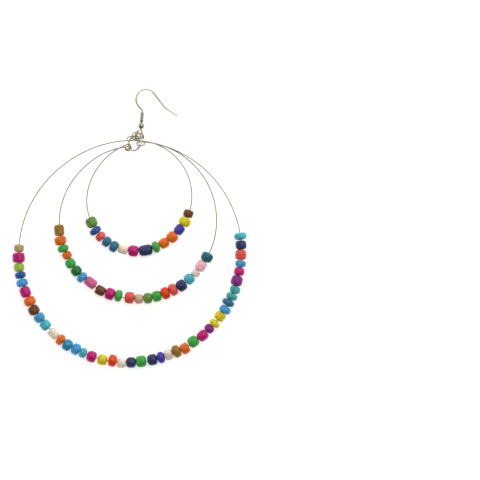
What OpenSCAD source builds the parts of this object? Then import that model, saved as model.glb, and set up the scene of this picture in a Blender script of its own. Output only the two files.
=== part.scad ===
// Dangle earring: three spring-wire hoops strung with glass beads, hung by wire eyes on a jump ring,
// on a French hook with a ball and a wound coil. It lies flat: +Z is up and the beads rest on z = 0.

/* [Hoop wire] */
// Diameter of the spring wire of the three hoops
hoop_wire_d = 0.45; // [0.4:0.01:0.46]
// Turn of each hoop's end eyes, short of a full circle by the slit that they close with
eye_turn = 300; // [270:5:300]

/* [Jump ring] */
// Diameter of the ring's wire
ring_wire_d = 0.7; // [0.6:0.02:0.72]
// Radius of the ring, to the middle of its wire
ring_r = 3; // [2.98:0.01:3.02]
// Width of the cut where the ring is opened
ring_cut = 0.12; // [0.08:0.01:0.3]

/* [Ear hook] */
// Diameter of the hook's wire
hook_wire_d = 0.7; // [0.6:0.02:0.72]
// Length of the shank from the ball's middle to the bend above the coil
shank_length = 6; // [5.9:0.1:7]
// Length of the straight leg behind the ear
leg_length = 6.7; // [5:0.1:8]
// Length of the straight tail, turned out from the leg
tail_length = 5.2; // [4.5:0.1:7]
// Diameter of the metal ball
ball_d = 2.5; // [2.2:0.1:2.6]
// Diameter of the fine wire wound into the coil
coil_wire_d = 0.38; // [0.3:0.01:0.4]
// Length of the coil along the shank
coil_length = 4.4; // [3.5:0.1:4.6]

/* [Beads] */
// Width of the beads against the charts below
bead_width = 1.06; // [0.95:0.01:1.06]
// Squareness added to the charts', which fills out the ends of the beads
bead_fill = 0.5; // [0:0.1:0.8]
// Diameter of the hole through each bead
bead_bore_d = 1.4; // [1.3:0.02:1.5]
// Free way that a bead keeps to the wire inside it
bead_slack = 0.04; // [0.02:0.01:0.1]
// Bands of each bead's rounded side
bead_bands = 8; // [6:2:12]

/* [Hidden] */
$fn = 48;

steel = "#b9b4a6";
bright_steel = "#d2cec4";
weld_scale = 1.05;
weld_length = 0.1;

// Middle of the whole earring's box in plan, seen from the place where the ring lies
box_mid = [-2.08, -33.6];

// Ring: its middle, the heading of its tilt axis, its tilt and where it is cut
ring_mid = [-0.08, 0.26, 2.6];
ring_axis = 68;
ring_tilt = -37.6;
ring_cut_angle = 300;

// Hook: the ball's middle, the shank's heading and the twist of its eye about the shank
ball_mid = [2.55, 7.22, 2.11];
hook_heading = 85;
hook_eye_roll = 14.7;
ball_bore_d = 0.8;
// Where the hook rests on the table, [way up the shank, way to its right]: the crook's top and the tail's end
crook_rest = [14, 4.5];
tail_rest = [5.5, 14.1];
// Coil: where it starts above the ball's middle, its room round the shank and its winding
coil_start = 1.35;
coil_gap = 0.05;
coil_pitch = 0.42;
coil_steps = 14;
coil_sides = 5;

// Wire bends are rows of [roll, bend radius, turn]; a radius of 0 makes the turn a straight length
crook_bends = [
    [0, 0, shank_length],
    [0, 0.9, 57],
    [0, 0, 0.7],
    [180, 4.36, 102],
    [0, 3.75, 92],
    [0, 0, leg_length],
    [180, 5, 19],
    [0, 0, tail_length]
];
hook_eye_bends = [
    [0, 0, 1.3],
    [0, 0.8, 26],
    [0, 0, 1.72],
    [180, 1.5, 240],
    [0, 0, 1.6]
];

// A hoop is [lowest point, slope, left half, right half]; a half is its bends as rows of [radius, turn],
// and its eye as [roll, radius]
outer = [
    [-1.85, -87.5, 2.36], 0.4,
    [[[44.8, 56.7], [42.9, 60.6], [47.3, 51.5], [35, 11.9]], [236, 1.58]],
    [[[40.2, 13], [47.9, 23.1], [43.8, 61.2], [44.5, 78]], [153.3, 1.67]]
];
middle = [
    [1, -61.9, 2.27], 0.19,
    [[[31.6, 51.4], [29.6, 80.1], [40.5, 9.2], [28.8, 33.5]], [-49.3, 1.19]],
    [[[31.8, 45], [31.3, 133]], [59.7, 1.57]]
];
inner = [
    [1, -42.85, 2.4], -0.89,
    [[[20.2, 105], [25.8, 53.2]], [-33.9, 1.18]],
    [[[20.2, 10], [22.1, 170.2]], [172.7, 1.7]]
];

// Glaze colours by name
glazes = [
    ["tan", "#a79a66"], ["magenta", "#bc1d74"], ["lime", "#9dc43a"], ["blue", "#2f66ad"],
    ["sky", "#3f98cc"], ["orange", "#e0701a"], ["brown", "#6f4230"], ["turquoise", "#4bb6c4"],
    ["cream", "#e6dccb"], ["petrol", "#2a84a6"], ["yellow", "#d6cc25"], ["scarlet", "#e2522a"],
    ["navy", "#2e3a6b"], ["green", "#36a347"], ["violet", "#4538a0"], ["shell", "#ead9d2"],
    ["olive", "#8a7436"], ["purple", "#7f3187"], ["teal", "#2f7590"], ["sea", "#3fa59b"],
    ["coral", "#e86060"], ["ochre", "#97782c"], ["pine", "#1f6e45"], ["pink", "#d0609a"],
    ["sand", "#cfae8c"], ["moss", "#5a8c38"], ["blush", "#ee9db4"], ["deep_teal", "#1b5a66"]
];

// Share of its free way that a bead drops where it hangs on the wire
hang_share = 0.8;

// Beads from the left end of each string: [glaze, length, diameter, squareness, shift outward, gap after it]
outer_start = -72.9;
outer_chart = [
    ["tan", 3.05, 3.8, 3, 0, 0.3],
    ["magenta", 3.95, 4.65, 3.8, 0.1, 0.2],
    ["lime", 3.3, 4, 3, 0.4, 0.2],
    ["blue", 2.65, 4.3, 2.6, 0.4, 0.3],
    ["sky", 3.05, 4.45, 2.6, 0.3, 0.2],
    ["magenta", 4.2, 4.2, 3, 0.4, 0.2],
    ["orange", 3.55, 4.55, 2.8, 0.1, 0.2],
    ["brown", 3.75, 4.45, 2.5, 0.4, 0.2],
    ["sky", 3.35, 4.4, 2.8, 0.2, 0.2],
    ["turquoise", 3.75, 4.05, 3.2, 0.2, 0.7],
    ["cream", 4.2, 3.7, 4, 0.4, 0.2],
    ["orange", 2.85, 4.4, 2.6, 0.3, 0.2],
    ["petrol", 3.65, 4.4, 2.8, 0.4, 0.2],
    ["sky", 3.4, 4.4, 2.6, 0, 0.2],
    ["turquoise", 2.7, 4.05, 2.8, 0.1, 0.4],
    ["magenta", 3.8, 4.4, 2.8, 0.2, 0.7],
    ["yellow", 3.8, 4.15, 3, 0.1, 0.5],
    ["scarlet", 3.3, 4.65, 2.8, -0.4, 0.3],
    ["cream", 3.45, 3.7, 4, 0.2, 0.2],
    ["navy", 3.75, 4.2, 2.8, -0.2, 0.2],
    ["green", 4.05, 4.4, 3, -0.4, 0.55],
    ["navy", 3.95, 4.3, 2.6, -0.3, 0.2],
    ["violet", 2.8, 4.4, 2.4, -0.3, 0.2],
    ["shell", 3.35, 4.3, 3, -0.4, 0.2],
    ["olive", 3.25, 4.9, 2.6, -0.4, 0.2],
    ["orange", 3.4, 4.2, 3.2, 0.2, 0.5],
    ["green", 4.15, 4.3, 2.8, -0.4, 0.2],
    ["magenta", 4.25, 4.1, 2.8, 0, 0.2],
    ["purple", 3.05, 3.9, 2.6, -0.4, 0.2],
    ["yellow", 2.55, 4.4, 2.4, -0.1, 0.5],
    ["yellow", 3.5, 4.2, 3.2, -0.2, 0.2],
    ["sky", 2.9, 4.5, 2.6, 0, 0.35],
    ["teal", 2.6, 4.8, 2.4, -0.3, 0.2],
    ["sea", 2.65, 4.5, 2.4, -0.1, 0.2],
    ["sea", 2.95, 4.15, 2.5, 0.1, 0.2],
    ["purple", 4, 4.5, 3, -0.3, 0.2],
    ["magenta", 3.25, 4.1, 2.6, -0.2, 0.2],
    ["sky", 2.6, 4, 2.8, -0.1, 0.35],
    ["coral", 3.95, 4.4, 3, -0.3, 0.2],
    ["navy", 3.45, 4.2, 3, -0.1, 0.4],
    ["turquoise", 2.9, 4.8, 2.4, 0, 0.2]
];
middle_start = -47.6;
middle_chart = [
    ["ochre", 4.45, 3.8, 4, 0.4, 0.2],
    ["orange", 3.45, 4.45, 2.8, 0.4, 0.2],
    ["green", 2.75, 4.2, 2.4, 0.3, 0.2],
    ["orange", 2.95, 3.8, 2.6, -0.1, 0.2],
    ["green", 3.6, 3.9, 3, 0.4, 0.2],
    ["pine", 3.6, 4.25, 2.6, 0.2, 0.2],
    ["sky", 2.8, 4.4, 2.5, 0.3, 0.2],
    ["pink", 4.8, 3.9, 4, -0.3, 0.65],
    ["brown", 3.9, 3.9, 4, 0.4, 0.2],
    ["magenta", 3.75, 4.6, 3, 0, 0.2],
    ["green", 2.85, 4.6, 2.5, -0.4, 1.2],
    ["coral", 3.75, 4.6, 3, -0.3, 0.2],
    ["sand", 3.4, 3.75, 2.8, 0, 0.2],
    ["moss", 3.4, 4.15, 2.6, 0, 0.2],
    ["green", 3.55, 4.3, 3, -0.1, 0.2],
    ["scarlet", 3.3, 4.8, 2.8, -0.2, 0.2],
    ["coral", 3.2, 4.9, 2.8, -0.3, 0.2],
    ["navy", 3.85, 4.5, 2.8, 0, 0.35],
    ["turquoise", 3.7, 4.1, 2.8, -0.2, 0.2],
    ["shell", 2.75, 3.4, 3, -0.1, 0.2],
    ["blush", 4.2, 4.1, 3.2, -0.3, 0.2],
    ["deep_teal", 3.8, 4.5, 2.6, -0.1, 0.2]
];
inner_start = -24.9;
inner_chart = [
    ["moss", 4.2, 4.3, 2.8, 0.1, 0.28],
    ["blue", 2.6, 4.6, 2.5, 0.4, 0.28],
    ["coral", 2.8, 4, 2.8, 0.4, 0.28],
    ["teal", 3.05, 4.2, 2.6, 0.3, 0.28],
    ["teal", 3.2, 4.3, 2.8, 0.4, 0.28],
    ["cream", 3.8, 3.9, 4, 0, 0.28],
    ["magenta", 3.95, 4.3, 3, 0, 0.28],
    ["navy", 5.4, 4.3, 3.2, 0, 0.28],
    ["green", 2.75, 4.7, 2.4, -0.3, 0.28],
    ["orange", 3.85, 3.9, 2.8, -0.3, 0.28],
    ["orange", 3.9, 4.3, 2.8, -0.3, 0.28],
    ["violet", 3.85, 3.8, 3, -0.3, 0.28],
    ["yellow", 3.5, 4.5, 2.8, -0.2, 0.28],
    ["brown", 3.05, 3.8, 3, -0.2, 0.28]
];

hoop_wire_r = hoop_wire_d / 2;
bead_bore_r = bead_bore_d / 2;

// Slope of the shank and roll of the crook that lay both resting points of the hook on the table
hook_drop = ball_mid.z - hook_wire_d / 2;
rest_area = crook_rest.x * tail_rest.y - tail_rest.x * crook_rest.y;
hook_slope = asin(hook_drop * (tail_rest.y - crook_rest.y) / rest_area);
crook_roll = asin(hook_drop * (crook_rest.x - tail_rest.x) / rest_area);

// Place and heading after a way s along bends that start at the origin along +X and turn left
function along(bends, s) =
    let (r = bends[0][0], turn = bends[0][1], arc = r * turn * PI / 180)
    s <= arc || len(bends) == 1
        ? let (a = s / r * 180 / PI) [r * sin(a), r * (1 - cos(a)), a]
        : let (rest = along([for (i = [1 : len(bends) - 1]) bends[i]], s - arc))
          [
              r * sin(turn) + rest.x * cos(turn) - rest.y * sin(turn),
              r * (1 - cos(turn)) + rest.x * sin(turn) + rest.y * cos(turn),
              turn + rest.z
          ];

// Place and heading on a hoop's wire, in its own plane, s to the right of its lowest point
function on_hoop(hoop, s) =
    s >= 0 ? along(hoop[3][0], s) : let (p = along(hoop[2][0], -s)) [-p.x, p.y, -p.z];

// Way along the wire from the string's start to the start of bead i
function way_to(chart, i) = i == 0 ? 0 : way_to(chart, i - 1) + chart[i - 1][1] + chart[i - 1][5];

function glaze(name) = glazes[search([name], glazes)[0]][1];

// Moves the earring from the ring's place to the middle of its box
module in_place() {
    translate([-box_mid.x, -box_mid.y, 0]) children();
}

// One bend of round wire, from the origin along +X, turning left in the XY plane
module bend(bend_r, turn, wire_r) {
    translate([0, bend_r, 0]) rotate([0, 0, -90]) rotate_extrude(angle = turn)
        translate([bend_r, 0]) circle(r = wire_r);
}

// Follows rows of [roll, bend radius, turn or straight length] from row i on, with a thin weld band at each joint
module wire_run(steps, wire_r, i = 0) {
    if (i < len(steps)) {
        bend_r = steps[i][1];
        turn = steps[i][2];
        if (i > 0) rotate([0, 90, 0]) cylinder(h = weld_length, r = wire_r * weld_scale, center = true);
        rotate([steps[i][0], 0, 0])
            if (bend_r == 0) {
                rotate([0, 90, 0]) cylinder(h = turn, r = wire_r);
                translate([turn, 0, 0]) wire_run(steps, wire_r, i + 1);
            } else {
                bend(bend_r, turn, wire_r);
                translate([bend_r * sin(turn), bend_r * (1 - cos(turn)), 0]) rotate([0, 0, turn])
                    wire_run(steps, wire_r, i + 1);
            }
    }
}

// One half of a hoop with its eye, from the hoop's lowest point to the right
module hoop_half(half) {
    eye = half[1];
    steps = concat([for (b = half[0]) [0, b[0], b[1]]], [[eye[0], eye[1], eye_turn]]);
    wire_run(steps, hoop_wire_r);
}

module hoop(h) {
    in_place() translate(h[0]) rotate([h[1], 0, 0]) {
        hoop_half(h[3]);
        mirror([1, 0, 0]) hoop_half(h[2]);
    }
}

// Drilled bead along X: a rounded outline turned round its hole
module bead(length, diameter, squareness) {
    power = 2 / squareness;
    rim = acos(pow(bead_bore_d / diameter, 1 / power));
    outline = [
        for (k = [0 : bead_bands])
            let (t = rim * (2 * k / bead_bands - 1))
            [diameter / 2 * pow(cos(t), power), length / 2 * sign(t) * pow(abs(sin(t)), power)]
    ];
    rotate([0, 90, 0]) rotate_extrude() polygon(outline);
}

// Beads rest on the table, or hang on the wire where it is higher than their hole reaches
module bead_string(h, chart, start) {
    for (i = [0 : len(chart) - 1]) {
        length = chart[i][1];
        diameter = chart[i][2] * bead_width;
        spot = on_hoop(h, start + way_to(chart, i) + length / 2);
        bow = length * length / (16 * h[3][0][0][0]);
        play = bead_bore_r - hoop_wire_r - bead_slack - bow;
        wire_z = h[0].z + spot.y * sin(h[1]);
        bead_z = max(diameter / 2, wire_z - hang_share * play);
        side_play = sqrt(max(0, play * play - pow(wire_z - bead_z, 2)));
        out = max(-side_play, min(side_play, chart[i][4])) - bow;
        color(glaze(chart[i][0])) in_place()
            translate([h[0].x + spot.x + out * sin(spot.z), h[0].y + spot.y - out * cos(spot.z), bead_z])
                rotate([0, 0, spot.z]) bead(length, diameter, chart[i][3] + bead_fill);
    }
}

// The hook's frame: the ball's middle, +X up the shank, +Y to the shank's left
module on_shank(roll) {
    in_place() translate(ball_mid) rotate([0, hook_slope, hook_heading]) rotate([roll, 0, 0]) children();
}

// Points of one section of the coil's wire, a turns-angle round the shank
function coil_section(a) =
    let (r = hook_wire_d / 2 + coil_gap + coil_wire_d / 2, lead = atan(coil_pitch / (2 * PI * r)))
    [
        for (j = [0 : coil_sides - 1])
            let (b = 360 * j / coil_sides, out = coil_wire_d / 2 * cos(b), up = coil_wire_d / 2 * sin(b))
            [
                (r + out) * cos(a) + up * sin(lead) * sin(a),
                (r + out) * sin(a) - up * sin(lead) * cos(a),
                coil_wire_d / 2 + coil_pitch * a / 360 + up * cos(lead)
            ]
    ];

module wound_coil(turns) {
    rings = ceil(turns * coil_steps);
    n = coil_sides;
    points = [for (i = [0 : rings]) each coil_section(360 * turns * i / rings)];
    sides = [
        for (i = [0 : rings - 1], j = [0 : n - 1])
            let (a = i * n + j, b = i * n + (j + 1) % n)
            each [[a, b + n, b], [a, a + n, b + n]]
    ];
    ends = [[for (j = [0 : n - 1]) j], [for (j = [0 : n - 1]) rings * n + n - 1 - j]];
    polyhedron(points, concat(sides, ends));
}

module ear_hook() {
    color(steel) union() {
        on_shank(crook_roll) wire_run(crook_bends, hook_wire_d / 2);
        on_shank(hook_eye_roll) rotate([0, 0, 180]) wire_run(hook_eye_bends, hook_wire_d / 2);
    }
}

module hook_ball() {
    color(bright_steel) on_shank(0) rotate([0, 90, 0]) rotate_extrude() difference() {
        circle(d = ball_d);
        translate([ball_bore_d / 2 - ball_d, -ball_d]) square([ball_d, 2 * ball_d]);
    }
}

module hook_coil() {
    turns = (coil_length - coil_wire_d) / coil_pitch;
    color(steel) on_shank(0) translate([coil_start, 0, 0]) rotate([0, 90, 0]) wound_coil(turns);
}

module jump_ring() {
    cut_turn = ring_cut / ring_r * 180 / PI;
    color(steel) in_place() translate(ring_mid)
        rotate([0, 0, ring_axis - 90]) rotate([0, ring_tilt, 0]) rotate([0, 0, ring_cut_angle])
            rotate_extrude(angle = 360 - cut_turn) translate([ring_r, 0]) circle(d = ring_wire_d);
}

module outer_hoop() { color(steel) hoop(outer); }
module middle_hoop() { color(steel) hoop(middle); }
module inner_hoop() { color(steel) hoop(inner); }
module outer_beads() { bead_string(outer, outer_chart, outer_start); }
module middle_beads() { bead_string(middle, middle_chart, middle_start); }
module inner_beads() { bead_string(inner, inner_chart, inner_start); }

ear_hook();
hook_ball();
hook_coil();
jump_ring();
outer_hoop();
middle_hoop();
inner_hoop();
outer_beads();
middle_beads();
inner_beads();
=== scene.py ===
import math

import bpy
from mathutils import Matrix, Vector


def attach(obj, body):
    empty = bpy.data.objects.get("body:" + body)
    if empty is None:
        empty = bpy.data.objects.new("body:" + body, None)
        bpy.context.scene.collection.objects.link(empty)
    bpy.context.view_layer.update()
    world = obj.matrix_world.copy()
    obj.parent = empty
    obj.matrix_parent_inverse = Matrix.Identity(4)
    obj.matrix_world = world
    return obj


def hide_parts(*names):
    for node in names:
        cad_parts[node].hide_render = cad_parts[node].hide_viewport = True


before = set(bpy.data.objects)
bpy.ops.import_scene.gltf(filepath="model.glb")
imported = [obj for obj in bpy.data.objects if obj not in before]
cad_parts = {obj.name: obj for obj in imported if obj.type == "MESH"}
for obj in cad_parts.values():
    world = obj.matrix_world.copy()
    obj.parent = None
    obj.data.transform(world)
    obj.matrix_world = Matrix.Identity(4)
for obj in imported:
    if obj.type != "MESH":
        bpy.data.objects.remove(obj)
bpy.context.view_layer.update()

mm = 0.001
toMm = 1 / mm
body = "root"  # the earring has no joints, so every piece rides on this one body


# Node trees: maths on a Val adds Math nodes, and anything else comes from Net.node
class Val:
    def __init__(self, net, socket):
        self.net, self.socket = net, socket

    def other(self, name):  # another output of the same node
        return Val(self.net, self.socket.node.outputs[name])

    def math(self, operation, *values):
        return self.net.node("ShaderNodeMath", {"operation": operation}, values)

    def __add__(self, b):
        return self.math("ADD", self, b)

    def __radd__(self, a):
        return self.math("ADD", a, self)

    def __rmul__(self, a):
        return self.math("MULTIPLY", a, self)

    def __rtruediv__(self, a):
        return self.math("DIVIDE", a, self)

    def __sub__(self, b):
        return self.math("SUBTRACT", self, b)

    def __rsub__(self, a):
        return self.math("SUBTRACT", a, self)

    def __mul__(self, b):
        return self.math("MULTIPLY", self, b)

    def __truediv__(self, b):
        return self.math("DIVIDE", self, b)

    def __pow__(self, b):
        return self.math("POWER", self, b)


class Net:
    def __init__(self, tree):
        self.tree = tree

    def node(self, kind, settings=None, values=(), out=0):
        made = self.tree.nodes.new(kind)
        for name, value in (settings or {}).items():
            if name == "stops":
                self.setStops(made.color_ramp, value)
            else:
                setattr(made, name, value)
        pairs = values.items() if isinstance(values, dict) else enumerate(values)
        for name, value in pairs:
            if isinstance(value, Val):
                self.tree.links.new(value.socket, made.inputs[name])
            else:
                made.inputs[name].default_value = value
        return Val(self, made.outputs[out]) if made.outputs else made

    def setStops(self, ramp, stops):
        while len(ramp.elements) > 1:
            ramp.elements.remove(ramp.elements[-1])
        for n, (place, grey) in enumerate(stops):
            stop = ramp.elements[0] if n == 0 else ramp.elements.new(place)
            stop.position = place
            stop.color = (grey, grey, grey, 1)

    def ramp(self, value, stops):
        return self.node("ShaderNodeValToRGB", {"stops": stops}, [value])

    def mix(self, factor, a, b):  # of two numbers
        return self.node("ShaderNodeMix", {"data_type": "FLOAT"}, {0: factor, 2: a, 3: b})

    def mixColor(self, factor, a, b):
        return self.node("ShaderNodeMix", {"data_type": "RGBA"}, {0: factor, 6: a, 7: b}, out=2)

    def noise(self, vector, scale, detail=2.0, roughness=0.5):
        values = {"Vector": vector, "Scale": scale, "Detail": detail, "Roughness": roughness}
        return self.node("ShaderNodeTexNoise", None, values)

    def stretch(self, vector, by):
        return self.node("ShaderNodeVectorMath", {"operation": "MULTIPLY"}, [vector, by])

    def split(self, vector):
        x = self.node("ShaderNodeSeparateXYZ", None, [vector])
        return x, x.other("Y"), x.other("Z")

    def vector(self, x, y, z):
        return self.node("ShaderNodeCombineXYZ", None, [x, y, z])

    def attribute(self, label, output):  # in a material
        return self.node("ShaderNodeAttribute", {"attribute_name": label}).other(output)

    def named(self, label, kind="FLOAT"):  # in Geometry Nodes
        return self.node("GeometryNodeInputNamedAttribute", {"data_type": kind}, {"Name": label})

    def store(self, geometry, label, value, kind="FLOAT"):
        settings = {"data_type": kind, "domain": "POINT"}
        values = {"Geometry": geometry, "Name": label, "Value": value}
        return self.node("GeometryNodeStoreNamedAttribute", settings, values)

    def finishGrowth(self, geometry, given):  # smooth, real and with its material
        geometry = self.node("GeometryNodeSetShadeSmooth", None, [geometry])
        geometry = self.node("GeometryNodeRealizeInstances", None, [geometry])
        values = {"Geometry": geometry, "Material": given.other("Material")}
        geometry = self.node("GeometryNodeSetMaterial", None, values)
        self.node("NodeGroupOutput", None, [geometry])
        return self


def linear(hexColor):
    parts = [int(hexColor[i:i + 2], 16) / 255 for i in (1, 3, 5)]
    return [p / 12.92 if p <= 0.04045 else ((p + 0.055) / 1.055) ** 2.4 for p in parts] + [1.0]


def newMaterial(name):
    made = bpy.data.materials.new(name)
    made.use_nodes = True
    made.node_tree.nodes.clear()
    return made, Net(made.node_tree)


def finishMaterial(net, values, height=None, depth=0.0, strength=1.0):
    if height is not None:
        bump = {"Strength": strength, "Distance": depth, "Height": height}
        values["Normal"] = net.node("ShaderNodeBump", None, bump)
    shader = net.node("ShaderNodeBsdfPrincipled", None, values)
    net.node("ShaderNodeOutputMaterial", None, [shader])


def place(name, mesh, slot, *nodes):  # a finished piece, at the origin, on the body
    piece = bpy.data.objects.new(name, mesh)
    bpy.context.scene.collection.objects.link(piece)
    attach(piece, body)
    if nodes:
        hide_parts(*nodes)


def grow(name, points, net, inputs):  # runs a Geometry Nodes tree on points and keeps the plain mesh
    holder = bpy.data.objects.new(name + "Points", points)
    bpy.context.scene.collection.objects.link(holder)
    modifier = holder.modifiers.new("grow", "NODES")
    modifier.node_group = net.tree
    ids = {s.name: s.identifier for s in net.tree.interface.items_tree if s.in_out == "INPUT"}
    for label, value in inputs.items():
        modifier[ids[label]] = value
    evaluated = holder.evaluated_get(bpy.context.evaluated_depsgraph_get())
    mesh = bpy.data.meshes.new_from_object(evaluated)
    mesh.name = name
    holder.modifiers.remove(modifier)
    bpy.data.objects.remove(holder)
    return mesh


def newGrowth(name, labels):
    tree = bpy.data.node_groups.new(name, "GeometryNodeTree")
    tree.interface.new_socket("Points", in_out="INPUT", socket_type="NodeSocketGeometry")
    for label in labels:
        kind = socketKinds.get(label, "Float")
        tree.interface.new_socket(label, in_out="INPUT", socket_type="NodeSocket" + kind)
    tree.interface.new_socket("Mesh", in_out="OUTPUT", socket_type="NodeSocketGeometry")
    net = Net(tree)
    return net, net.node("NodeGroupInput")


# Camera: straight above, so far off that the beads show no slant, with the photo's margins
camera = {
    "lookAt": (44.08 * mm, -4.78 * mm), "height": 1.5, "viewWidth": 192 * mm, "sensor": 36.0,
    "near": 0.01, "far": 20,
}
lens = camera["sensor"] * camera["height"] / camera["viewWidth"]
cameraData = bpy.data.cameras.new("camera")
cameraData.sensor_width = camera["sensor"]
cameraData.lens = lens
cameraData.clip_start, cameraData.clip_end = camera["near"], camera["far"]
cameraObject = bpy.data.objects.new("camera", cameraData)
cameraObject.location = (*camera["lookAt"], camera["height"])
bpy.context.scene.collection.objects.link(cameraObject)
bpy.context.scene.camera = cameraObject
print("camera set")


# Beads: glazes by name, then each string from its left end
glazes = {
    "tan": "#bba46c", "magenta": "#c40a72", "lime": "#a2c03e", "blue": "#22559e", "sky": "#3c9bd0",
    "orange": "#ea6c03", "brown": "#6e3c18", "turquoise": "#4ab6c6", "cream": "#f6e6cc",
    "petrol": "#2090b2", "yellow": "#ddcb04", "scarlet": "#e64504", "navy": "#283562",
    "green": "#3ea93f", "violet": "#453aa8", "shell": "#f1dccd", "olive": "#967020",
    "purple": "#862284", "teal": "#2a6f8e", "sea": "#41a8a8", "coral": "#e65348",
    "ochre": "#9e7625", "pine": "#197234", "pink": "#d65e92", "sand": "#d4b18e",
    "moss": "#69953e", "blush": "#ffc6d0", "deepTeal": "#1a6672",
}
# Rows are (glaze, length, diameter, squareness, shift outward, gap after it), in mm.
# A half of a hoop is its bends as (radius, turn), from the hoop's lowest point up.
strings = {
    "outer": {
        "lowest": (-1.85, -87.5, 2.36), "slope": 0.4, "start": -72.9,
        "left": [(44.8, 56.7), (42.9, 60.6), (47.3, 51.5), (35, 11.9)],
        "right": [(40.2, 13), (47.9, 23.1), (43.8, 61.2), (44.5, 78)],
        "chart": [
            ("tan", 3.05, 3.8, 3, 0, 0.3), ("magenta", 3.95, 4.65, 3.8, 0.1, 0.2),
            ("lime", 3.3, 4, 3, 0.4, 0.2), ("blue", 2.65, 4.3, 2.6, 0.4, 0.3),
            ("sky", 3.05, 4.45, 2.6, 0.3, 0.2), ("magenta", 4.2, 4.2, 3, 0.4, 0.2),
            ("orange", 3.55, 4.55, 2.8, 0.1, 0.2), ("brown", 3.75, 4.45, 2.5, 0.4, 0.2),
            ("sky", 3.35, 4.4, 2.8, 0.2, 0.2), ("turquoise", 3.75, 4.05, 3.2, 0.2, 0.7),
            ("cream", 4.2, 3.7, 4, 0.4, 0.2), ("orange", 2.85, 4.4, 2.6, 0.3, 0.2),
            ("petrol", 3.65, 4.4, 2.8, 0.4, 0.2), ("sky", 3.4, 4.4, 2.6, 0, 0.2),
            ("turquoise", 2.7, 4.05, 2.8, 0.1, 0.4), ("magenta", 3.8, 4.4, 2.8, 0.2, 0.7),
            ("yellow", 3.8, 4.15, 3, 0.1, 0.5), ("scarlet", 3.3, 4.65, 2.8, -0.4, 0.3),
            ("cream", 3.45, 3.7, 4, 0.2, 0.2), ("navy", 3.75, 4.2, 2.8, -0.2, 0.2),
            ("green", 4.05, 4.4, 3, -0.4, 0.55), ("navy", 3.95, 4.3, 2.6, -0.3, 0.2),
            ("violet", 2.8, 4.4, 2.4, -0.3, 0.2), ("shell", 3.35, 4.3, 3, -0.4, 0.2),
            ("olive", 3.25, 4.9, 2.6, -0.4, 0.2), ("orange", 3.4, 4.2, 3.2, 0.2, 0.5),
            ("green", 4.15, 4.3, 2.8, -0.4, 0.2), ("magenta", 4.25, 4.1, 2.8, 0, 0.2),
            ("purple", 3.05, 3.9, 2.6, -0.4, 0.2), ("yellow", 2.55, 4.4, 2.4, -0.1, 0.5),
            ("yellow", 3.5, 4.2, 3.2, -0.2, 0.2), ("sky", 2.9, 4.5, 2.6, 0, 0.35),
            ("teal", 2.6, 4.8, 2.4, -0.3, 0.2), ("sea", 2.65, 4.5, 2.4, -0.1, 0.2),
            ("sea", 2.95, 4.15, 2.5, 0.1, 0.2), ("purple", 4, 4.5, 3, -0.3, 0.2),
            ("magenta", 3.25, 4.1, 2.6, -0.2, 0.2), ("sky", 2.6, 4, 2.8, -0.1, 0.35),
            ("coral", 3.95, 4.4, 3, -0.3, 0.2), ("navy", 3.45, 4.2, 3, -0.1, 0.4),
            ("turquoise", 2.9, 4.8, 2.4, 0, 0.2),
        ],
    },
    "middle": {
        "lowest": (1, -61.9, 2.27), "slope": 0.19, "start": -47.6,
        "left": [(31.6, 51.4), (29.6, 80.1), (40.5, 9.2), (28.8, 33.5)],
        "right": [(31.8, 45), (31.3, 133)],
        "chart": [
            ("ochre", 4.45, 3.8, 4, 0.4, 0.2), ("orange", 3.45, 4.45, 2.8, 0.4, 0.2),
            ("green", 2.75, 4.2, 2.4, 0.3, 0.2), ("orange", 2.95, 3.8, 2.6, -0.1, 0.2),
            ("green", 3.6, 3.9, 3, 0.4, 0.2), ("pine", 3.6, 4.25, 2.6, 0.2, 0.2),
            ("sky", 2.8, 4.4, 2.5, 0.3, 0.2), ("pink", 4.8, 3.9, 4, -0.3, 0.65),
            ("brown", 3.9, 3.9, 4, 0.4, 0.2), ("magenta", 3.75, 4.6, 3, 0, 0.2),
            ("green", 2.85, 4.6, 2.5, -0.4, 1.2), ("coral", 3.75, 4.6, 3, -0.3, 0.2),
            ("sand", 3.4, 3.75, 2.8, 0, 0.2), ("moss", 3.4, 4.15, 2.6, 0, 0.2),
            ("green", 3.55, 4.3, 3, -0.1, 0.2), ("scarlet", 3.3, 4.8, 2.8, -0.2, 0.2),
            ("coral", 3.2, 4.9, 2.8, -0.3, 0.2), ("navy", 3.85, 4.5, 2.8, 0, 0.35),
            ("turquoise", 3.7, 4.1, 2.8, -0.2, 0.2), ("shell", 2.75, 3.4, 3, -0.1, 0.2),
            ("blush", 4.2, 4.1, 3.2, -0.3, 0.2), ("deepTeal", 3.8, 4.5, 2.6, -0.1, 0.2),
        ],
    },
    "inner": {
        "lowest": (1, -42.85, 2.4), "slope": -0.89, "start": -24.9,
        "left": [(20.2, 105), (25.8, 53.2)], "right": [(20.2, 10), (22.1, 170.2)],
        "chart": [
            ("moss", 4.2, 4.3, 2.8, 0.1, 0.28), ("blue", 2.6, 4.6, 2.5, 0.4, 0.28),
            ("coral", 2.8, 4, 2.8, 0.4, 0.28), ("teal", 3.05, 4.2, 2.6, 0.3, 0.28),
            ("teal", 3.2, 4.3, 2.8, 0.4, 0.28), ("cream", 3.8, 3.9, 4, 0, 0.28),
            ("magenta", 3.95, 4.3, 3, 0, 0.28), ("navy", 5.4, 4.3, 3.2, 0, 0.28),
            ("green", 2.75, 4.7, 2.4, -0.3, 0.28), ("orange", 3.85, 3.9, 2.8, -0.3, 0.28),
            ("orange", 3.9, 4.3, 2.8, -0.3, 0.28), ("violet", 3.85, 3.8, 3, -0.3, 0.28),
            ("yellow", 3.5, 4.5, 2.8, -0.2, 0.28), ("brown", 3.05, 3.8, 3, -0.2, 0.28),
        ],
    },
}
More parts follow.
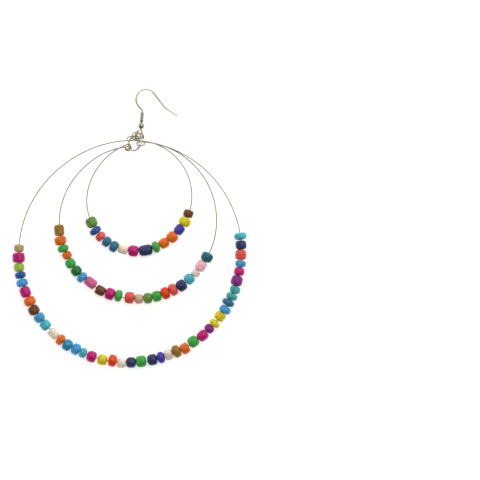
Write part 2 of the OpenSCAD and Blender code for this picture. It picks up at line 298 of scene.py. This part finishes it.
fit = {
    "boxMiddle": (-2.08, -33.6), "boreRadius": 0.7, "wireRadius": 0.225, "slack": 0.04, "rest": 0.8,
    "beadWidth": 1.06, "beadFill": 0.5,
}
beadGrow = 0.16  # glazed ends that nearly touch, in mm of length


def along(bends, way):  # place and heading after a way along bends that start at the origin along +X
    x = y = heading = 0.0
    for n, (radius, turn) in enumerate(bends):
        arc = radius * math.radians(turn)
        last = way <= arc or n == len(bends) - 1
        angle = way / radius if last else math.radians(turn)
        dx, dy = radius * math.sin(angle), radius * (1 - math.cos(angle))
        c, s = math.cos(heading), math.sin(heading)
        x, y, heading = x + dx * c - dy * s, y + dx * s + dy * c, heading + angle
        if last:
            return x, y, heading
        way -= arc


def onHoop(string, way):
    if way >= 0:
        return along(string["right"], way)
    x, y, heading = along(string["left"], -way)
    return -x, y, -heading


def beadSpots(string):  # each bead's place, where it rests on the table or hangs on the wire
    lowX, lowY, lowZ = string["lowest"]
    bore, wire = fit["boreRadius"], fit["wireRadius"]
    way = string["start"]
    for glaze, length, width, square, shiftOut, gap in string["chart"]:
        diameter = width * fit["beadWidth"]
        square += fit["beadFill"]
        x, y, heading = onHoop(string, way + length / 2)
        bow = length * length / (16 * string["right"][0][0])
        play = bore - wire - fit["slack"] - bow
        wireZ = lowZ + y * math.sin(math.radians(string["slope"]))
        z = max(diameter / 2, wireZ - fit["rest"] * play)
        side = math.sqrt(max(0, play * play - (wireZ - z) ** 2))
        out = max(-side, min(side, shiftOut)) - bow
        x += lowX + out * math.sin(heading) - fit["boxMiddle"][0]
        y += lowY - out * math.cos(heading) - fit["boxMiddle"][1]
        yield {
            "middle": (x * mm, y * mm, z * mm), "heading": heading, "length": (length + beadGrow) * mm,
            "half": diameter / 2 * mm, "power": 2 / square,
            "rim": math.acos((2 * bore / diameter) ** (square / 2)), "glaze": linear(glazes[glaze]),
        }
        way += length + gap


def beadPoints(string):  # one loose vertex for each bead, with what its shape needs
    spots = list(beadSpots(string))
    mesh = bpy.data.meshes.new("beadPoints")
    mesh.from_pydata([spot["middle"] for spot in spots], [], [])
    kinds = {"middle": "FLOAT_VECTOR", "glaze": "FLOAT_COLOR"}
    fields = {"FLOAT_VECTOR": "vector", "FLOAT_COLOR": "color", "FLOAT": "value"}
    for label in spots[0]:
        kind = kinds.get(label, "FLOAT")
        data = mesh.attributes.new(label, kind, "POINT").data
        for n, spot in enumerate(spots):
            setattr(data[n], fields[kind], spot[label])
    return mesh


beadLook = {
    "Around": 40, "Bands": 32, "Outer Share": 0.875, "Bore": fit["boreRadius"] * mm,
    "Lump": 0.045, "Lump Size": 1.3 * mm, "Squash": 0.02, "Taper": 0.08, "Wedge": 0.02, "Seed": 4,
}
# Steps between two beads in the noises' space, the turn that a bead's oval may have, and the seams' weld
beadApart = {"lump": 7.3, "glaze": 23.7}
ovalTurns = 6.28
beadWeld = 0.002 * mm
socketKinds = {"Around": "Int", "Bands": "Int", "Sides": "Int", "Seed": "Int", "Material": "Material"}


def beadGrowth():
    net, given = newGrowth("beadGrowth", [*beadLook, "Material"])
    bore, half, length = given.other("Bore"), net.named("half"), net.named("length")

    def chance(low, high, turn):  # a fixed random number for each bead
        values = {2: low, 3: high, "ID": net.named("number", "INT"), "Seed": given.other("Seed") + turn}
        return net.node("FunctionNodeRandomValue", {"data_type": "FLOAT"}, values, out=1)

    # Each bead starts as a tube of unit radius and height; its height becomes the way round the outline
    position = net.node("GeometryNodeInputPosition")
    numbers = net.node("GeometryNodeInputIndex")
    points = net.store(given.other("Points"), "number", numbers, "INT")
    sizes = {"Vertices": given.other("Around"), "Side Segments": given.other("Bands"), "Depth": 1.0}
    tube = net.node("GeometryNodeMeshCylinder", {"fill_type": "NONE"}, sizes)
    tube = net.store(tube, "unit", position, "FLOAT_VECTOR")
    beads = net.node("GeometryNodeInstanceOnPoints", None, {"Points": points, "Instance": tube})
    beads = net.node("GeometryNodeRealizeInstances", None, [beads])
    side, up, height = net.split(net.named("unit", "FLOAT_VECTOR"))
    way = (height + 0.5) / given.other("Outer Share")
    turn = net.named("rim") * (way.math("MINIMUM", way, 1.0) * 2.0 - 1.0)
    sine = turn.math("SINE", turn)
    power = net.named("power")
    radius = half * turn.math("COSINE", turn) ** power
    across = length * 0.5 * sine.math("SIGN", sine) * sine.math("ABSOLUTE", sine) ** power
    edge = net.named("rim").math("SINE", net.named("rim")) ** power * length
    inside = (height + 0.5 - given.other("Outer Share")) / (1.0 - given.other("Outer Share"))
    across = across - edge * inside.math("MAXIMUM", inside, 0.0)

    # Unevenness that fades out towards the hole: lumps, an oval section, a narrow end and a slanted face
    fade = (radius - bore) / (half - bore)
    plain = net.vector(across, radius * side, radius * up)
    lumps = net.node("ShaderNodeTexNoise", {"noise_dimensions": "4D"},
                     {"Vector": plain, "W": net.named("number", "INT") * beadApart["lump"],
                      "Scale": 1.0 / given.other("Lump Size"), "Detail": 1.0})
    swell = 1.0 + given.other("Lump") * (lumps - 0.5) * 2.0 * fade
    ovalTurn = chance(0.0, ovalTurns, 1.0)
    oval = side * ovalTurn.math("COSINE", ovalTurn) + up * ovalTurn.math("SINE", ovalTurn)
    swell = swell * (1.0 + given.other("Squash") * (oval * oval * 2.0 - 1.0) * fade)
    lean = across / length * 2.0 * chance(-1.0, 1.0, 2.0)
    swell = swell * (1.0 - given.other("Taper") * lean.math("MAXIMUM", lean, 0.0) * fade)
    slant = given.other("Wedge") * chance(0.0, 1.0, 3.0)
    across = across * (1.0 - slant * (0.5 + 0.5 * oval * radius / half))
    radius = radius * swell
    y, z = radius * side, radius * up

    # From the bead's own place, with X along its hole, to where it lies
    heading = net.named("heading")
    cosine, sineH = heading.math("COSINE", heading), heading.math("SINE", heading)
    midX, midY, midZ = net.split(net.named("middle", "FLOAT_VECTOR"))
    top = midZ + z
    placed = net.vector(midX + across * cosine - y * sineH, midY + across * sineH + y * cosine,
                        top.math("MAXIMUM", top, 0.0))
    apart = net.named("number", "INT") * beadApart["glaze"]
    ownPlace = net.vector(across * toMm + apart, y * toMm, z * toMm)
    beads = net.store(beads, "beadPlace", ownPlace, "FLOAT_VECTOR")
    beads = net.store(beads, "rimShade", fade)
    beads = net.node("GeometryNodeSetPosition", None, {"Geometry": beads, "Position": placed})
    beads = net.node("GeometryNodeMergeByDistance", None, {"Geometry": beads, "Distance": beadWeld})
    return net.finishGrowth(beads, given)


# Sizes are noise per mm; grain, cloud, streak and the painted glints are how far each one moves the
# glaze's brightness; the glints are painted highlight specks
beadTone = {
    "grainSize": 2.2, "grainDetail": 3.0, "grainRoughness": 0.6, "grain": 0.55,
    "cloudSize": 0.55, "cloud": 0.3, "streakSize": (2.6, 0.5, 0.5), "streak": 0.14,
    "paintedGlintSize": 2.8, "paintedGlintFrom": 0.6, "paintedGlintFull": 0.72, "paintedGlint": 0.65,
    "paintedGlintMix": 0.05, "paintedGlintColor": (0.9, 0.88, 0.82, 1), "rim": 0.35, "rimWidth": 0.22,
    "roughness": 0.3, "roughnessSpread": 0.25, "coat": 0.2, "coatRoughness": 0.12, "gloss": 0.25,
    "refraction": 1.45, "bump": 0.13 * mm, "bumpCloud": 0.6, "bumpStrength": 0.7,
}


def makeBeadGlaze():
    tone = beadTone
    made, net = newMaterial("beadGlaze")
    glaze = net.attribute("glaze", "Color")
    spot = net.attribute("beadPlace", "Vector")
    grain = net.noise(spot, tone["grainSize"], tone["grainDetail"], tone["grainRoughness"])
    cloud = net.noise(spot, tone["cloudSize"])
    streak = net.noise(net.stretch(spot, tone["streakSize"]), 1.0)
    # painted highlight: bright glint specks that lift the glaze's brightness
    stops = [(tone["paintedGlintFrom"], 0.0), (tone["paintedGlintFull"], 1.0)]
    paintedGlint = net.ramp(net.noise(spot, tone["paintedGlintSize"], 1.0), stops)
    level = 1.0 + tone["grain"] * (grain - 0.5) * 2.0 + tone["cloud"] * (cloud - 0.5) * 2.0
    level = level + tone["streak"] * (streak - 0.5) * 2.0 + tone["paintedGlint"] * paintedGlint
    # painted shade: the glaze is darker near the hole's bore, where shade falls
    rim = net.ramp(net.attribute("rimShade", "Fac"), [(0.0, 1.0), (tone["rimWidth"], 0.0)])
    level = level * (1.0 - rim * tone["rim"])
    color = net.node("ShaderNodeVectorMath", {"operation": "SCALE"}, {0: glaze, "Scale": level})
    # painted highlight: the glint specks paled towards a near white
    color = net.mixColor(paintedGlint * tone["paintedGlintMix"], color, tone["paintedGlintColor"])
    roughness = tone["roughness"] + tone["roughnessSpread"] * (grain - 0.5)
    values = {
        "Base Color": color, "Roughness": roughness, "Coat Weight": tone["coat"],
        "Coat Roughness": tone["coatRoughness"], "IOR": tone["refraction"],
        "Specular IOR Level": tone["gloss"],
    }
    finishMaterial(net, values, grain + tone["bumpCloud"] * cloud, tone["bump"], tone["bumpStrength"])
    return made


beadGlaze = makeBeadGlaze()
beadNet = beadGrowth()
pieceNames = {"outer": "outerBeads", "middle": "middleBeads", "inner": "innerBeads"}
for key, name in pieceNames.items():
    mesh = grow(name, beadPoints(strings[key]), beadNet, {**beadLook, "Material": beadGlaze})
    place(name, mesh, "bead_glass", key + "_beads")
    print(name, len(strings[key]["chart"]), "beads,", sum(len(p.vertices) - 2 for p in mesh.polygons),
          "triangles")


# Wires: how fine their routes are, in mm, and how each end is rounded off, in shares of the radius
wireFine = {"sagitta": 0.004, "straightStep": 0.6}
wireEnd = {"along": (0, 0.06, 0.22, 0.5), "across": [0.1, 0.34, 0.63, 0.87]}


def bends(steps, start):  # a route by rows of (roll, bend radius, turn or straight length)
    points, at = [start.translation.copy()], start.copy()
    for roll, radius, turn in steps:
        at = at @ Matrix.Rotation(math.radians(roll), 4, "X")
        if radius:
            step = 2 * math.degrees(math.acos(1 - wireFine["sagitta"] / radius))
        else:
            step = wireFine["straightStep"]
        pieces = math.ceil(turn / step)
        for n in range(1, pieces + 1):
            angle = math.radians(turn * n / pieces)
            if radius:
                spot = Vector((radius * math.sin(angle), radius * (1 - math.cos(angle)), 0))
            else:
                spot = Vector((turn * n / pieces, 0, 0))
            points.append(at @ spot)
        at = at @ Matrix.Translation(spot)
        if radius:
            at = at @ Matrix.Rotation(math.radians(turn), 4, "Z")
    return points


def wirePoints(points, radius):  # one open run of edges whose two ends are rounded off
    ends = []
    for tip, back in ((points[0], points[1]), (points[-1], points[-2])):
        inward = (back - tip).normalized() * radius
        ends.append([tip + inward * share for share in wireEnd["along"]])
    run = ends[0] + points[1:-1] + ends[1][::-1]
    thick = wireEnd["across"] + [1.0] * (len(points) - 2) + wireEnd["across"][::-1]
    mesh = bpy.data.meshes.new("wirePoints")
    mesh.from_pydata([p * mm for p in run], [(n, n + 1) for n in range(len(run) - 1)], [])
    values = mesh.attributes.new("thick", "FLOAT", "POINT").data
    for n, share in enumerate(thick):
        values[n].value = share * radius * mm
    return mesh


def wireGrowth():
    net, given = newGrowth("wireGrowth", ["Sides", "Material"])
    run = net.node("GeometryNodeMeshToCurve", None, [given.other("Points")])
    parameter = net.node("GeometryNodeSplineParameter")
    run = net.store(run, "wireAlong", parameter.other("Length") * toMm)
    circle = net.node("GeometryNodeCurvePrimitiveCircle", None, {"Resolution": given.other("Sides")})
    circle = net.store(circle, "wireSide", net.node("GeometryNodeInputPosition"), "FLOAT_VECTOR")
    values = {"Curve": run, "Profile Curve": circle, "Scale": net.named("thick"), "Fill Caps": True}
    return net.finishGrowth(net.node("GeometryNodeCurveToMesh", None, values), given)


# Line is how fine the drawn lines are across the wire. Painted light is how much brighter or darker the
# wire is painted, by mm from its first end, as painted highlight and painted shade: the hook's crook and
# tail shine most, the coil is darkest by the ball.
steelLook = {
    "hook": {
        "light": "#ece9da", "dark": "#757163", "roughness": 0.28, "spread": 0.2, "line": 5.0,
        "paintedLight": [(16, -0.1), (22, -0.1), (24.5, 0), (26.5, 0.3), (31, 0.4), (33, 0), (35, -0.05), (37, 0),
                 (40, 0.05), (41.5, 0.3), (43, 0.4)],
    },
    "coil": {
        "light": "#e6e1d3", "dark": "#8f8975", "roughness": 0.26, "spread": 0.1, "line": 5.0,
        "paintedLight": [(0, -0.35), (4, -0.3), (9, 0.2)],
    },
    "spring": {
        "light": "#c3bca3", "dark": "#8b836c", "roughness": 0.5, "spread": 0.2, "line": 4.0,
        "paintedLight": [(0, 0.1)],
    },
}
drawn = {
    "lineStretch": 0.3, "lines": 0.5, "lineRoughness": 0.1,
    "dullSize": 0.8, "dullStretch": 0.5, "dull": 0.3,
    "bump": 0.006 * mm, "bumpStrength": 0.5, "paintedLightReach": 50.0,
}


def makeDrawnSteel(name, look):  # fine lines along the wire, with duller stretches and painted light and shade along it
    made, net = newMaterial(name)
    side = net.attribute("wireSide", "Vector")
    wireAlong = net.attribute("wireAlong", "Fac")
    sideX, sideY, _ = net.split(side)
    spot = net.vector(sideX * look["line"], sideY * look["line"], wireAlong * drawn["lineStretch"])
    lines = net.noise(spot, 1.0, 3.0, 0.65)
    dull = net.noise(net.vector(sideX, sideY, wireAlong * drawn["dullStretch"]), drawn["dullSize"])
    reach = drawn["paintedLightReach"]
    # painted highlight and painted shade, by mm along the wire from its first end
    paintedLight = net.ramp(wireAlong / reach, [(way / reach, 0.5 + rub) for way, rub in look["paintedLight"]])
    shine = lines * drawn["lines"] + dull * drawn["dull"] + (paintedLight - 0.5)
    color = net.mixColor(shine, linear(look["dark"]), linear(look["light"]))
    roughness = look["roughness"] + look["spread"] * (dull - 0.4)
    roughness = roughness + drawn["lineRoughness"] * (lines - 0.5)
    values = {"Base Color": color, "Roughness": roughness, "Metallic": 1.0}
    finishMaterial(net, values, lines, drawn["bump"], drawn["bumpStrength"])
    return made


hookSteel = makeDrawnSteel("hookSteel", steelLook["hook"])
coilSteel = makeDrawnSteel("coilSteel", steelLook["coil"])
springSteel = makeDrawnSteel("springSteel", steelLook["spring"])
wireNet = wireGrowth()
shift = Matrix.Translation((-fit["boxMiddle"][0], -fit["boxMiddle"][1], 0))


def makeWire(name, node, slot, points, radius, sides, material):
    mesh = grow(name, wirePoints(points, radius), wireNet, {"Sides": sides, "Material": material})
    place(name, mesh, slot, node)
    print(name, sum(len(p.vertices) - 2 for p in mesh.polygons), "triangles")


# Hoops, each from its left eye round the lowest point to its right eye; an eye is (roll, radius)
hoopSides, hookSides, coilSides = 16, 20, 12
eyes = {
    "outer": ((236, 1.58), (153.3, 1.67)), "middle": ((-49.3, 1.19), (59.7, 1.57)),
    "inner": ((-33.9, 1.18), (172.7, 1.7)), "turn": 300,
}
for key in strings:
    hoop = strings[key]
    start = shift @ Matrix.Translation(hoop["lowest"])
    start = start @ Matrix.Rotation(math.radians(hoop["slope"]), 4, "X")
    halves = []
    for half, (roll, radius), flip in (("left", eyes[key][0], -1), ("right", eyes[key][1], 1)):
        steps = [(0, r, turn) for r, turn in hoop[half]] + [(roll, radius, eyes["turn"])]
        run = bends(steps, Matrix.Identity(4))
        halves.append([start @ Vector((flip * p.x, p.y, p.z)) for p in run])
    points = halves[0][:0:-1] + halves[1]
    thick = fit["wireRadius"]
    makeWire(key + "Hoop", key + "_hoop", "spring_wire", points, thick, hoopSides, springSteel)


# Hook: its eye, the shank through the ball, the crook, the leg and the tail
hook = {
    "ballMiddle": (2.55, 7.22, 2.11), "heading": 85, "eyeRoll": 14.7, "wireRadius": 0.35,
    "crookRest": (14, 4.5), "tailRest": (5.5, 14.1),
    "crook": [(0, 0, 6), (0, 0.9, 57), (0, 0, 0.7), (180, 4.36, 102), (0, 3.75, 92), (0, 0, 6.7),
              (180, 5, 19), (0, 0, 5.2)],
    "eye": [(0, 0, 1.3), (0, 0.8, 26), (0, 0, 1.72), (180, 1.5, 240), (0, 0, 1.6)],
}
drop = hook["ballMiddle"][2] - hook["wireRadius"]
area = hook["crookRest"][0] * hook["tailRest"][1] - hook["tailRest"][0] * hook["crookRest"][1]
hookSlope = math.asin(drop * (hook["tailRest"][1] - hook["crookRest"][1]) / area)
crookRoll = math.asin(drop * (hook["crookRest"][0] - hook["tailRest"][0]) / area)
shank = shift @ Matrix.Translation(hook["ballMiddle"])
shank = shank @ Matrix.Rotation(math.radians(hook["heading"]), 4, "Z")
shank = shank @ Matrix.Rotation(hookSlope, 4, "Y")
eyeStart = shank @ Matrix.Rotation(math.radians(hook["eyeRoll"]), 4, "X")
eyeRun = bends(hook["eye"], eyeStart @ Matrix.Rotation(math.pi, 4, "Z"))
crookRun = bends(hook["crook"], shank @ Matrix.Rotation(crookRoll, 4, "X"))
hookRun = eyeRun[:0:-1] + crookRun
makeWire("earHook", "ear_hook", "hook_metal", hookRun, hook["wireRadius"], hookSides, hookSteel)


# Coil: fine wire wound round the shank above the ball
coil = {"start": 1.35, "gap": 0.05, "wireRadius": 0.19, "pitch": 0.42, "length": 4.4, "steps": 28}
turns = (coil["length"] - 2 * coil["wireRadius"]) / coil["pitch"]
winding = hook["wireRadius"] + coil["gap"] + coil["wireRadius"]
coilRun = []
for n in range(math.ceil(turns * coil["steps"]) + 1):
    angle = min(turns, n / coil["steps"]) * 2 * math.pi
    rise = coil["start"] + coil["wireRadius"] + coil["pitch"] * angle / (2 * math.pi)
    coilRun.append(shank @ Vector((rise, winding * math.sin(angle), -winding * math.cos(angle))))
makeWire("hookCoil", "hook_coil", "hook_metal", coilRun, coil["wireRadius"], coilSides, coilSteel)


# Ball and ring keep their CAD meshes
metalLook = {
    "hook_ball": {"light": "#bdb7a6", "dark": "#9b9483", "roughness": 0.12, "size": 900},
    "jump_ring": {"light": "#e8dfc8", "dark": "#aca286", "roughness": 0.22, "size": 1400},
}
metalMarks = {
    "stretch": (1.0, 1.0, 7.0), "scratchSize": 3.0, "cloud": 0.7, "scratch": 0.3,
    "cloudRoughness": 0.16, "scratchRoughness": 0.08,
    "bump": 0.008 * mm, "bumpCloud": 0.5, "bumpStrength": 0.4,
}
for node, look in metalLook.items():
    made, net = newMaterial(node + "Metal")
    spot = net.node("ShaderNodeTexCoord").other("Object")
    cloud = net.noise(spot, look["size"], 3.0)
    fine = look["size"] * metalMarks["scratchSize"]
    scratches = net.noise(net.stretch(spot, metalMarks["stretch"]), fine, 2.0, 0.7)
    shine = cloud * metalMarks["cloud"] + scratches * metalMarks["scratch"]
    color = net.mixColor(shine, linear(look["dark"]), linear(look["light"]))
    roughness = look["roughness"] + metalMarks["cloudRoughness"] * (cloud - 0.4)
    roughness = roughness + metalMarks["scratchRoughness"] * (scratches - 0.5)
    values = {"Base Color": color, "Roughness": roughness, "Metallic": 1.0}
    relief = scratches + metalMarks["bumpCloud"] * cloud
    finishMaterial(net, values, relief, metalMarks["bump"], metalMarks["bumpStrength"])
    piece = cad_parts[node]
    for materialSlot in piece.material_slots:
        materialSlot.material = made
print("metal done")


# Floor, light and surroundings: a white table under a wide soft lamp
floorLook = {
    "size": 3.0, "drop": 0.02 * mm, "white": 0.86, "shade": 0.84, "grainSize": 900.0, "glow": 0.62,
    "roughness": 0.9,
}
half = floorLook["size"] / 2
floorMesh = bpy.data.meshes.new("floor")
corners = [(-half, -half), (half, -half), (half, half), (-half, half)]
floorMesh.from_pydata([(x, y, -floorLook["drop"]) for x, y in corners], [], [(0, 1, 2, 3)])
floor = bpy.data.objects.new("floor", floorMesh)
bpy.context.scene.collection.objects.link(floor)
made, net = newMaterial("whiteTable")
paper = net.noise(net.node("ShaderNodeTexCoord").other("Object"), floorLook["grainSize"], 2.0)
white = net.mixColor(paper, [floorLook["shade"]] * 3 + [1], [floorLook["white"]] * 3 + [1])
finishMaterial(net, {
    "Base Color": white, "Roughness": floorLook["roughness"], "Specular IOR Level": 0.0,
    "Emission Color": (1, 1, 1, 1), "Emission Strength": floorLook["glow"],
})
floorMesh.materials.append(made)

lightLook = {
    "power": 6.2, "size": 1.0, "place": (0.3, 0.36, 0.95),
    "sky": 0.08, "nearSide": 0.2, "farSide": 1.5, "toward": (-0.2, 0.8), "spread": 0.8,
}
lamp = bpy.data.lights.new("softbox", "AREA")
lamp.energy, lamp.size = lightLook["power"], lightLook["size"]
lampObject = bpy.data.objects.new("softbox", lamp)
lampObject.location = lightLook["place"]
lampObject.rotation_euler = Vector(lightLook["place"]).to_track_quat("Z", "Y").to_euler()
lampObject.visible_camera = False
bpy.context.scene.collection.objects.link(lampObject)

world = bpy.data.worlds.new("studio")
world.use_nodes = True
world.node_tree.nodes.clear()
net = Net(world.node_tree)
skyX, skyY, skyZ = net.split(net.node("ShaderNodeTexCoord"))
side = 0.5 + lightLook["spread"] * (skyX * lightLook["toward"][0] + skyY * lightLook["toward"][1])
low = net.mix(side, lightLook["nearSide"], lightLook["farSide"])
strength = net.mix(skyZ.math("ABSOLUTE", skyZ), low, lightLook["sky"])
background = net.node("ShaderNodeBackground", None, {"Color": (1, 1, 1, 1), "Strength": strength})
net.node("ShaderNodeOutputWorld", None, [background])
bpy.context.scene.world = world
bpy.context.scene.view_settings.view_transform = "Standard"
print("light done")
